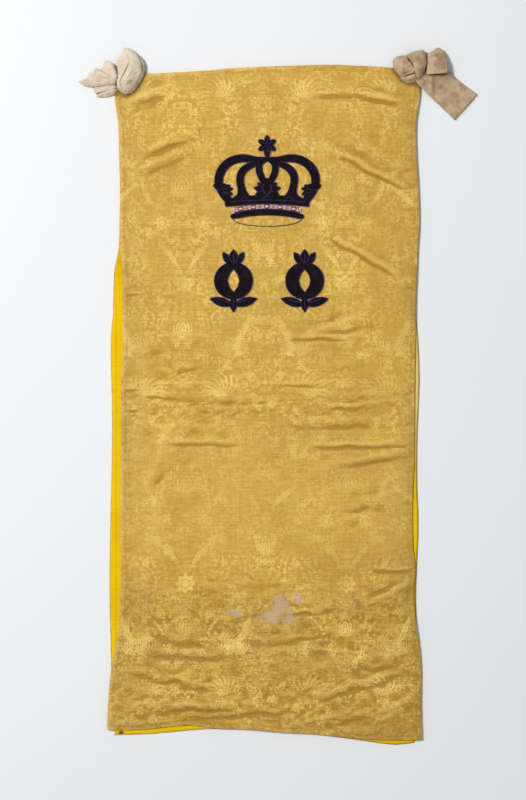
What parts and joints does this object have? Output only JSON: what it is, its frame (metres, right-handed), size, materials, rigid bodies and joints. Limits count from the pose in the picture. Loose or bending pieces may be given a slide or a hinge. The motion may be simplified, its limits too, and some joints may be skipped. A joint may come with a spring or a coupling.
{
  "type": "torah mantle",
  "caption": "Flat-lying lined damask cover for a scroll, slit at both sides, with a velvet crown, two velvet pomegranates and knotted linen corner ties.",
  "frame": {"origin": "middle of the back panel, on its underside, where the mantle lies on the surface", "axes": "+Y towards the top seam that the ties are on, +X to the right as the front is seen, +Z out of the front"},
  "size_m": [0.5363, 0.9367, 0.0216],
  "materials": {
    "gold_damask": "gold silk damask with a woven flower and leaf repeat, worn at the edges",
    "yellow_lining": "bright yellow glazed cotton",
    "dark_velvet": "aubergine-black velvet edged with violet cord",
    "jewel_braid": "pale braid with red and pink stitched jewels",
    "stitched_cord": "dark couched thread",
    "tie_linen": "unbleached plain-weave linen with faint stains"
  },
  "bodies": {
    "root": {"back_panel": "gold_damask", "back_lining": "yellow_lining", "front_lining": "yellow_lining", "front_panel": "gold_damask", "crown_velvet": "dark_velvet", "crown_jewel_braid": "jewel_braid", "crown_rim": "dark_velvet", "crown_oval_cord": "stitched_cord", "pomegranate_left": "dark_velvet", "pomegranate_right": "dark_velvet", "tie_left": "tie_linen", "tie_right": "tie_linen"}
  },
  "joints": []
}
